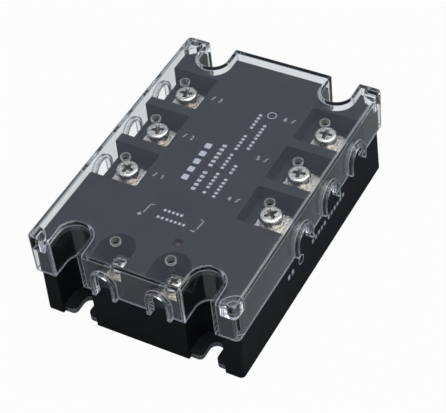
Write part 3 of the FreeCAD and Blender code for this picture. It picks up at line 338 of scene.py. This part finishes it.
MATERIALS = {
    "black_plastic": moulded_black(),
    "clear_plastic": clear_cover(),
    "aluminium": plated("rolled_aluminium", (0.60, 0.61, 0.62), 0.36, (1.0, 0.04, 1.0)),
    "nickel_steel": plated("nickel_plate", (0.86, 0.80, 0.73), 0.24),
    # Painted shade: the strips' nickel is much darker than the screws' nickel, standing in for the
    # shade they lie in.
    "nickel_brass": plated("nickel_strip_darkened_for_shade", (0.50, 0.45, 0.39), 0.38, (0.05, 1.0, 0.05)),
    "copper": plated("bare_copper", (0.72, 0.36, 0.24), 0.3, (0.05, 1.0, 1.0)),
    "ceramic_white": ceramic(),
    "silicon": coloured_plastic("silicon_die", (0.07, 0.075, 0.09), 0.15),
    "board_green": circuit_board(),
    "part_black": coloured_plastic("moulded_package", (0.02, 0.02, 0.021), 0.45),
    "part_white": coloured_plastic("white_package", (0.68, 0.67, 0.62), 0.45, 0.12),
    "capacitor_case": coloured_plastic("capacitor_case", (0.55, 0.36, 0.04), 0.35, 0.15),
    "resistor_body": coloured_plastic("resistor_lacquer", (0.16, 0.24, 0.28), 0.4),
    "lamp": lamp_lens(),
    "resin": soft_resin(),
}
INK = ink()


def dress_nodes():
    """Gives every CAD node the material of its slot."""
    slots = {row["node"]: row["material_slot"] for row in RECORD["subparts"]}
    for name, item in NODES.items():
        item.data.materials.clear()
        item.data.materials.append(MATERIALS[slots[name]])


# ---------------------------------------------------------------- mesh helpers


def new_piece(name, mesh, body, slot, material=None):
    """Links a finished mesh as a piece that rides on a body."""
    item = bpy.data.objects.new(name, mesh)
    bpy.context.scene.collection.objects.link(item)
    mesh.materials.clear()
    mesh.materials.append(material or MATERIALS[slot])
    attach(item, body)
    return item


def centre_of(node):
    """The middle of a node's box at rest."""
    low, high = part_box(node)
    return (low + high) / 2


# ---------------------------------------------------------------- fasteners

# Rest angles of the cross recesses in degrees, the same as the CAD's.
RECESS_ANGLES = {
    "line_screw_1": 78.0,
    "line_screw_2": 24.0,
    "line_screw_3": 9.0,
    "load_screw_1": 52.0,
    "load_screw_2": 8.0,
    "load_screw_3": 3.0,
    "positive_input_screw": 31.0,
    "negative_input_screw": 64.0,
}
# Screws, in millimetres: the head's radius and height, the shank's radius, the pitch and the
# width of the recess.
M4 = {"head": 3.9, "height": 2.9, "shank": 2.0, "pitch": 0.7, "wing": 1.15}
M3 = {"head": 2.8, "height": 2.2, "shank": 1.5, "pitch": 0.5, "wing": 0.95}
# Spring washers: millimetres, then the gap and the slant of its ends in degrees.
SPRING = {"bore": 2.2, "rise": 0.1, "edge": 0.16, "gap": 13.0, "slant": 9.0, "steps": 56}
THREAD_STEPS = 5  # rows of vertices up one pitch
ROUND_STEPS = 40  # vertices round a screw
ROUND_START = 0.023  # in radians; keeps the vertices off the recess's edges, for a clean cut
THREAD_DEPTH = 0.54  # of the pitch
POINT_BEVEL = 0.3
SKIN = 0.02  # the thread's crests stay this far inside the CAD's plain shank
CROWN = 0.12  # how far the middle of a head stands above its shoulder


def smooth(mesh):
    """Shades a mesh smooth, but leaves its sharper edges crisp."""
    mesh.shade_smooth()
    mesh.set_sharp_from_angle(angle=math.radians(35))


def finish_mesh(build, name):
    """Turns a bmesh into a smooth mesh."""
    bmesh.ops.recalc_face_normals(build, faces=build.faces)
    mesh = bpy.data.meshes.new(name)
    build.to_mesh(mesh)
    build.free()
    smooth(mesh)
    return mesh


def lofted(build, rows):
    """Joins rows of points with quads; each row runs once round, and each end closes with a face."""
    loops = [[build.verts.new(point) for point in row] for row in rows]
    for low, high in zip(loops, loops[1:]):
        for i, corner in enumerate(low):
            j = (i + 1) % len(low)
            build.faces.new((corner, low[j], high[j], high[i]))
    build.faces.new(list(reversed(loops[0])))
    build.faces.new(loops[-1])


def circle_row(radius, z):
    """One level ring of points, from millimetres to metres."""
    turns = [ROUND_START + 2 * math.pi * i / ROUND_STEPS for i in range(ROUND_STEPS)]
    return [(radius * math.cos(a) * MM, radius * math.sin(a) * MM, z * MM) for a in turns]


def thread_rows(size, length):
    """Rings up a threaded shank from its point to just under the head."""
    crest_radius = size["shank"] - SKIN
    depth = size["pitch"] * THREAD_DEPTH
    point, first, last = -length, -length + POINT_BEVEL, -0.45
    rows = [circle_row(size["shank"] - depth - 0.25, point)]
    levels = int(length / size["pitch"] * THREAD_STEPS)
    for level in range(levels + 1):
        up = level / levels
        z = first + (last - first) * up
        fade = min(1.0, up * 8, (1 - up) * 10)
        row = []
        for i in range(ROUND_STEPS):
            turn = i / ROUND_STEPS
            phase = (z / size["pitch"] - turn) % 1.0
            crest = 1 - abs(2 * phase - 1)
            radius = crest_radius - depth * (1 - crest * fade)
            angle = ROUND_START + 2 * math.pi * turn
            row.append((radius * math.cos(angle) * MM, radius * math.sin(angle) * MM, z * MM))
        rows.append(row)
    rows.append(circle_row(crest_radius, -0.25))
    return rows


def head_rows(size):
    """Rings up a pan head: a bevelled underside, a straight rim, a full shoulder and a low crown."""
    radius, height = size["head"], size["height"]
    rows = [circle_row(size["shank"] - SKIN, 0.0), circle_row(radius - 0.14, 0.0)]
    rows += [circle_row(radius - 0.02, 0.08), circle_row(radius, 0.2)]
    rim, shoulder, shoulder_top = height * 0.56, radius * 0.24, height - CROWN
    steps = 8
    for step in range(steps + 1):
        angle = math.pi / 2 * step / steps
        across = radius - shoulder + shoulder * math.cos(angle)
        rows.append(circle_row(across, rim + (shoulder_top - rim) * math.sin(angle)))
    for share in (0.45, 0.22, 0.05):
        rows.append(circle_row(radius * share, shoulder_top + CROWN * (1 - share)))
    return rows


# Levels down the cross recess of an M4 head: depth in mm, then the arms' length and width.
RECESS_LEVELS = ((0.0, 1.1, 1.05), (0.3, 1.0, 1.0), (1.3, 0.72, 0.8), (1.95, 0.40, 0.6))


def recess_mesh(size, angle):
    """The tapering cross that a driver's tip cuts into a head."""
    build = bmesh.new()
    rows = []
    top, reach = size["height"] + 0.25, size["head"] * 0.60
    depth_scale = size["height"] / M4["height"]
    for down, arm_share, wing_share in RECESS_LEVELS:
        arm, wing = reach * arm_share, size["wing"] / 2 * wing_share
        tip = [(arm * 0.94, -wing), (arm, -wing * 0.6), (arm, wing * 0.6), (arm * 0.94, wing)]
        quarter = [*tip, (wing * 1.25, wing * 1.25)]
        row = []
        for turn in range(4):
            spin = math.radians(angle + 90 * turn)
            for x, y in quarter:
                across = x * math.cos(spin) - y * math.sin(spin)
                along = x * math.sin(spin) + y * math.cos(spin)
                row.append((across * MM, along * MM, (top - down * depth_scale) * MM))
        rows.append(row)
    lofted(build, rows[::-1])
    return finish_mesh(build, "recess")


def cut_away(mesh, cutter):
    """The first mesh with the second taken out of it."""
    body = bpy.data.objects.new("cut_body", mesh)
    tool = bpy.data.objects.new("cut_tool", cutter)
    for item in (body, tool):
        bpy.context.scene.collection.objects.link(item)
    step = body.modifiers.new("cut", "BOOLEAN")
    step.operation = "DIFFERENCE"
    step.solver = "EXACT"
    step.object = tool
    done = bpy.data.meshes.new_from_object(body.evaluated_get(bpy.context.evaluated_depsgraph_get()))
    for item in (body, tool):
        bpy.data.objects.remove(item)
    return done


def make_screw(node, size):
    """A threaded pan-head screw with a tapered cross recess in place of the CAD's plain one."""
    low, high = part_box(node)
    seat = high.z - size["height"] * MM
    length = (seat - low.z) / MM
    build = bmesh.new()
    lofted(build, thread_rows(size, length) + head_rows(size))
    mesh = cut_away(finish_mesh(build, node), recess_mesh(size, RECESS_ANGLES[node]))
    smooth(mesh)
    middle = centre_of(node)
    mesh.transform(Matrix.Translation((middle.x, middle.y, seat)))
    item = new_piece(f"{node}_detailed", mesh, body_of(node), "nickel_steel")
    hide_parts(node)


def make_spring_washer(node):
    """A split spring washer coiled from rounded square wire, its ends cut on the slant."""
    low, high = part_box(node)
    outer, height = (high.x - low.x) / 2 / MM, (high.z - low.z) / MM
    wire = height - SPRING["rise"] - 0.04
    middle, wide = (SPRING["bore"] + outer) / 2, (outer - SPRING["bore"]) / 2
    edge = SPRING["edge"]
    section = []
    for x_sign, z_sign in ((1, 1), (-1, 1), (-1, -1), (1, -1)):
        for turn in (0, 45, 90):
            spin = math.radians(turn if x_sign * z_sign > 0 else 90 - turn)
            across = x_sign * (wide - edge + edge * math.cos(spin))
            section.append((across, z_sign * (wire / 2 - edge + edge * math.sin(spin))))
    rows = []
    for step in range(SPRING["steps"] + 1):
        share = step / SPRING["steps"]
        row = []
        for across, up in section:
            lean = SPRING["slant"] * up / wire
            turned = (360 - SPRING["gap"]) * share
            spin = math.radians(90 + SPRING["gap"] / 2 + lean + turned)
            radius = middle + across
            z = height / 2 + up + SPRING["rise"] * (share - 0.5)
            row.append((radius * math.cos(spin) * MM, radius * math.sin(spin) * MM, z * MM))
        rows.append(row)
    build = bmesh.new()
    lofted(build, rows)
    mesh = finish_mesh(build, node)
    centre = centre_of(node)
    mesh.transform(Matrix.Translation((centre.x, centre.y, low.z)))
    item = new_piece(f"{node}_coiled", mesh, body_of(node), "nickel_steel")
    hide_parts(node)


def body_of(node):
    """The name of the moving body a node belongs to."""
    return next(name for name, held in RECORD["behaviour"]["bodies"].items() if node in held)


def make_fasteners():
    """All the screws and spring washers."""
    for side in SIDES:
        for phase in PHASES:
            make_screw(f"{side}_screw_{phase}", M4)
            make_spring_washer(f"{side}_spring_washer_{phase}")
    for pole in POLES:
        make_screw(f"{pole}_input_screw", M3)


# ---------------------------------------------------------------- printed marks

PRINT_THICKNESS = 0.03 * MM

# Blank words along the housing's top: each row's place across, the blocks' height and pitch, and
# the middle and number of blocks of each word. All in millimetres.
TOP_ROWS = [
    (-5.5, 2.2, 3.9, [(0.6, 5)]),
    (-0.5, 1.5, 1.95, [(-6.9, 5), (5.6, 6)]),
    (3.6, 1.1, 1.62, [(-11.0, 1), (-5.2, 5), (4.4, 5), (14.0, 5), (25.0, 5)]),
    (7.3, 1.1, 1.62, [(-7.4, 6), (1.8, 3), (14.0, 3), (20.8, 5)]),
]
TOP_RING_PLACE = (7.2, 29.6)
# Blank words across the top between the inputs' lead lines: place along, then the words.
INPUT_ROWS = [(-22.9, [(-1.0, 5)]), (-26.3, [(-3.9, 2), (1.6, 5)])]
# For each input: the sign's and the lead line's place across, and the way the line's end turns.
INPUT_LEADS = {"positive": (-10.9, -10.0, 1), "negative": (8.4, 9.2, -1)}
NUMBER_INWARD, WAVE_INWARD = 14.1, 11.3  # from a power screw's axis towards the middle
SIDE_PLACE = (5.0, 12.6)  # the side print's middle, along and up


def flat_shape(polygons, thickness=PRINT_THICKNESS):
    """A thin slab mesh from closed polygons of (x, y) points in millimetres; shared edges join up."""
    build = bmesh.new()
    for polygon in polygons:
        build.faces.new([build.verts.new((x * MM, y * MM, 0.0)) for x, y in polygon])
    bmesh.ops.remove_doubles(build, verts=build.verts, dist=1e-7)
    bmesh.ops.recalc_face_normals(build, faces=build.faces)
    grown = bmesh.ops.extrude_face_region(build, geom=list(build.faces))
    lifted = [item for item in grown["geom"] if isinstance(item, bmesh.types.BMVert)]
    bmesh.ops.translate(build, verts=lifted, vec=(0, 0, thickness))
    bmesh.ops.recalc_face_normals(build, faces=build.faces)
    mesh = bpy.data.meshes.new("print")
    build.to_mesh(mesh)
    build.free()
    return mesh


def stroke(points, width):
    """A flat ribbon of this width along a path of (x, y) points."""
    left, right = [], []
    for i, (x, y) in enumerate(points):
        ahead, behind = points[min(i + 1, len(points) - 1)], points[max(i - 1, 0)]
        along = Vector((ahead[0] - behind[0], ahead[1] - behind[1])).normalized()
        left.append((x - along.y * width / 2, y + along.x * width / 2))
        right.append((x + along.y * width / 2, y - along.x * width / 2))
    return left + right[::-1]


def rounded(x, y, width, height, radius, steps=4):
    """The outline of a rectangle with rounded corners, centred at (x, y)."""
    points = []
    for quarter, (x_sign, y_sign) in enumerate(((1, 1), (-1, 1), (-1, -1), (1, -1))):
        for step in range(steps + 1):
            spin = math.radians(90 * quarter + 90 * step / steps)
            across = x_sign * (width / 2 - radius) + radius * math.cos(spin)
            along = y_sign * (height / 2 - radius) + radius * math.sin(spin)
            points.append((x + across, y + along))
    return points


def ring(width, line):
    """The quads of a ring this wide round the origin, drawn with a line of this width."""
    outer = rounded(0, 0, width, width, width / 2, 10)
    inner = rounded(0, 0, width - 2 * line, width - 2 * line, width / 2 - line, 10)
    count = len(outer)
    return [(outer[i], outer[(i + 1) % count], inner[(i + 1) % count], inner[i]) for i in range(count)]


def number_mesh(text, size):
    """A terminal number as a thin slab, centred on its own origin."""
    curve = bpy.data.curves.new("number", "FONT")
    curve.body = text
    curve.size = size * MM
    curve.align_x = "CENTER"
    curve.align_y = "CENTER"
    curve.extrude = PRINT_THICKNESS / 2
    item = bpy.data.objects.new("number", curve)
    mesh = bpy.data.meshes.new_from_object(item)
    bpy.data.objects.remove(item)
    return mesh


def print_on(name, mesh, place, turn=Matrix.Identity(4)):
    """Lays a printed mark on the housing."""
    mesh.transform(Matrix.Translation(place) @ turn)
    new_piece(name, mesh, "relay", "black_plastic", INK)


def blank_words(words, height, pitch):
    """Words of small plain blocks along X, each given as (middle, number of blocks)."""
    shapes = []
    for middle, count in words:
        for i in range(count):
            at = middle + (i - (count - 1) / 2) * pitch
            shapes.append(rounded(at, 0, pitch * 0.58, height, 0.14))
    return flat_shape(shapes)


def print_terminal_marks(top):
    """A number and a wave beside each power terminal, and a sign with a lead line by each input."""
    wave = [(step / 6 - 1, 0.3 * math.sin(math.pi * (step / 6 - 1))) for step in range(13)]
    number = 0
    for side in SIDES:
        for phase in PHASES:
            number += 1
            at = centre_of(f"{side}_screw_{phase}")
            inward = -math.copysign(1, at.x)
            digit = Vector((at.x + inward * NUMBER_INWARD * MM, at.y - 1.0 * MM, top))
            print_on(f"number_{side}_{phase}", number_mesh(str(number), 2.7), digit)
            beside = Vector((at.x + inward * WAVE_INWARD * MM, at.y - 0.8 * MM, top))
            turn = Matrix.Rotation(math.radians(52), 4, "Z")
            print_on(f"wave_{side}_{phase}", flat_shape([stroke(wave, 0.27)]), beside, turn)
    half, width = 0.8, 0.14
    quarter = [(half, -width), (half, width), (width, width)]
    plus = []
    for _ in range(4):
        plus += quarter
        quarter = [(-y, x) for x, y in quarter]
    minus = rounded(0, 0, 1.5, 0.3, 0.13)
    for pole, sign in (("positive", plus), ("negative", minus)):
        sign_x, lead_x, inward = INPUT_LEADS[pole]
        print_on(f"sign_{pole}", flat_shape([sign]), Vector((sign_x * MM, -27.4 * MM, top)))
        bend_x = lead_x + 0.5
        lead = [(lead_x, -26.4), (bend_x, -22.4), (bend_x + inward * 1.4, -22.0)]
        print_on(f"lead_{pole}", flat_shape([stroke(lead, 0.24)]), Vector((0, 0, top)))


def print_top():
    """Everything printed on the housing's top: terminal marks, and blank words for the ratings."""
    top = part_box("housing")[1].z
    print_terminal_marks(top)
    along = Matrix.Rotation(math.radians(90), 4, "Z")
    for i, (x, height, pitch, words) in enumerate(TOP_ROWS, start=1):
        mesh = blank_words(words, height, pitch)
        print_on(f"blank_words_{i}", mesh, Vector((x * MM, 0, top)), along)
    ring_x, ring_y = TOP_RING_PLACE
    print_on("ring_mark", flat_shape(ring(3.2, 0.28)), Vector((ring_x * MM, ring_y * MM, top)))
    for i, (y, words) in enumerate(INPUT_ROWS, start=1):
        place = Vector((0, y * MM, top))
        print_on(f"input_words_{i}", blank_words(words, 1.0, 1.5), place)


def print_side():
    """Blank words and a ring on the housing's right-hand side, laid on its leaning face."""
    along, up = SIDE_PLACE
    outside = Vector((100.0, along, up)) * MM
    _, spot, lean, _ = NODES["housing"].ray_cast(outside, (-1, 0, 0))
    forward = Vector((0, 1, 0))
    turn = Matrix((forward, lean.cross(forward), lean)).transposed().to_4x4()
    shapes = {
        "side_words": (0.0, blank_words([(-1.2, 5), (11.8, 6)], 1.6, 2.2)),
        "side_ring": (-14.2, flat_shape(ring(3.6, 0.32))),
        "side_blocks": (-21.5, blank_words([(0.0, 2)], 1.8, 2.6)),
    }
    for name, (along, mesh) in shapes.items():
        print_on(name, mesh, spot + Vector((0, along * MM, 0)), turn)


# ---------------------------------------------------------------- studio

CAMERA_PLACE = (0.197648, -0.296090, 0.372984)
CAMERA_AZIMUTH = 33.352
CAMERA_ELEVATION = 45.317
CAMERA_ROLL = -7.16
CAMERA_LENS = 123.02
FLOOR_REACH = 3.0
FLOOR_GAP = 0.2 * MM


def add_camera():
    """The camera at the photograph's viewing angle."""
    a, e, r = map(math.radians, (CAMERA_AZIMUTH, CAMERA_ELEVATION, CAMERA_ROLL))
    right = Vector((math.cos(a), math.sin(a), 0.0))
    back = Vector((math.sin(a) * math.cos(e), -math.cos(a) * math.cos(e), math.sin(e)))
    up = back.cross(right)
    level = right * math.cos(r) + up * math.sin(r)
    upward = up * math.cos(r) - right * math.sin(r)
    data = bpy.data.cameras.new("camera")
    data.lens = CAMERA_LENS
    data.sensor_width = 36.0
    data.clip_start = 0.01
    camera = bpy.data.objects.new("camera", data)
    turn = Matrix((level, upward, back)).transposed().to_4x4()
    camera.matrix_world = Matrix.Translation(CAMERA_PLACE) @ turn
    bpy.context.scene.collection.objects.link(camera)
    bpy.context.scene.camera = camera


def add_light(name, place, aim_height, size, power):
    """A soft square light aimed at the relay's middle at this height."""
    data = bpy.data.lights.new(name, "AREA")
    data.shape = "SQUARE"
    data.size = size
    data.energy = power
    light = bpy.data.objects.new(name, data)
    light.location = place
    direction = Vector((0, 0, aim_height)) - Vector(place)
    light.rotation_euler = direction.to_track_quat("-Z", "Y").to_euler()
    bpy.context.scene.collection.objects.link(light)


def add_floor():
    """A wide pale floor, bright to the eye and through the clear cover, dimmer as a light source."""
    s = Surface("pale_floor", (0.5, 0.5, 0.5), 0.9, specular=0.0)
    s.set("Base Color", s.blend(s.noise(3.0), (0.138, 0.152, 0.155), (0.124, 0.137, 0.14)))
    rays = s.node("ShaderNodeLightPath")
    straight = s.math("LESS_THAN", rays.outputs["Glossy Depth"], 0.5)
    share = s.math("MULTIPLY_ADD", straight, 0.7, 0.3)
    through = s.math("MULTIPLY", rays.outputs["Is Transmission Ray"], share)
    seen = s.math("MAXIMUM", rays.outputs["Is Camera Ray"], through)
    glow = s.node("ShaderNodeEmission", Color=(1.0, 1.0, 1.0, 1.0), Strength=1.0)
    s.show(s.mixed(s.math("MULTIPLY", seen, 0.97), s.shader, glow))
    mesh = bpy.data.meshes.new("floor")
    reach = FLOOR_REACH
    corners = [(-reach, -reach, 0), (reach, -reach, 0), (reach, reach, 0), (-reach, reach, 0)]
    mesh.from_pydata(corners, [], [(0, 1, 2, 3)])
    mesh.materials.append(s.material)
    floor = bpy.data.objects.new("floor", mesh)
    floor.location.z = -FLOOR_GAP
    bpy.context.scene.collection.objects.link(floor)


def add_sky():
    """Even studio light: bright overhead, dark at the horizon, white seen through the cover."""
    world = bpy.data.worlds.new("studio")
    bpy.context.scene.world = world
    world.use_nodes = True
    nodes, links = world.node_tree.nodes, world.node_tree.links
    background = nodes["Background"]
    place = nodes.new("ShaderNodeTexCoord")
    split = nodes.new("ShaderNodeSeparateXYZ")
    links.new(place.outputs["Generated"], split.inputs[0])
    ramp = nodes.new("ShaderNodeValToRGB")
    links.new(split.outputs["Z"], ramp.inputs[0])
    ramp.color_ramp.elements[0].position = 0.15
    ramp.color_ramp.elements[0].color = (0.045, 0.045, 0.05, 1)
    ramp.color_ramp.elements[1].position = 0.72
    ramp.color_ramp.elements[1].color = (0.335, 0.375, 0.49, 1)
    links.new(ramp.outputs[0], background.inputs[0])
    background.inputs[1].default_value = 1.0
    rays = nodes.new("ShaderNodeLightPath")
    # Light that has also bounced off a face gets only a share of the white.
    share = nodes.new("ShaderNodeMath")
    share.operation = "MULTIPLY_ADD"
    share.use_clamp = True
    links.new(rays.outputs["Glossy Depth"], share.inputs[0])
    share.inputs[1].default_value = -0.7
    share.inputs[2].default_value = 1.0
    through = nodes.new("ShaderNodeMath")
    through.operation = "MULTIPLY"
    links.new(rays.outputs["Is Transmission Ray"], through.inputs[0])
    links.new(share.outputs[0], through.inputs[1])
    white = nodes.new("ShaderNodeBackground")
    white.inputs[0].default_value = (0.80, 0.81, 0.83, 1)
    mix = nodes.new("ShaderNodeMixShader")
    links.new(through.outputs[0], mix.inputs[0])
    links.new(background.outputs[0], mix.inputs[1])
    links.new(white.outputs[0], mix.inputs[2])
    links.new(mix.outputs[0], nodes["World Output"].inputs["Surface"])


def add_studio():
    """Camera, floor, sky and soft lights."""
    add_camera()
    add_floor()
    add_sky()
    add_light("key", (0.15, 0.1, 0.85), 0.02, 0.8, 7.0)
    add_light("fill", (0.45, -0.5, 0.5), 0.02, 0.6, 1.2)
    # Two weak lights that the cover's rounded upper edges reflect.
    add_light("right_edge", (0.46, 0.50, 0.46), 0.03, 0.5, 0.8)
    add_light("front_edge", (-0.31, -0.57, 0.47), 0.03, 0.5, 0.6)
    bpy.context.scene.view_settings.view_transform = "Standard"


dress_nodes()
make_fasteners()
print_top()
print_side()
add_studio()
bpy.context.view_layer.update()
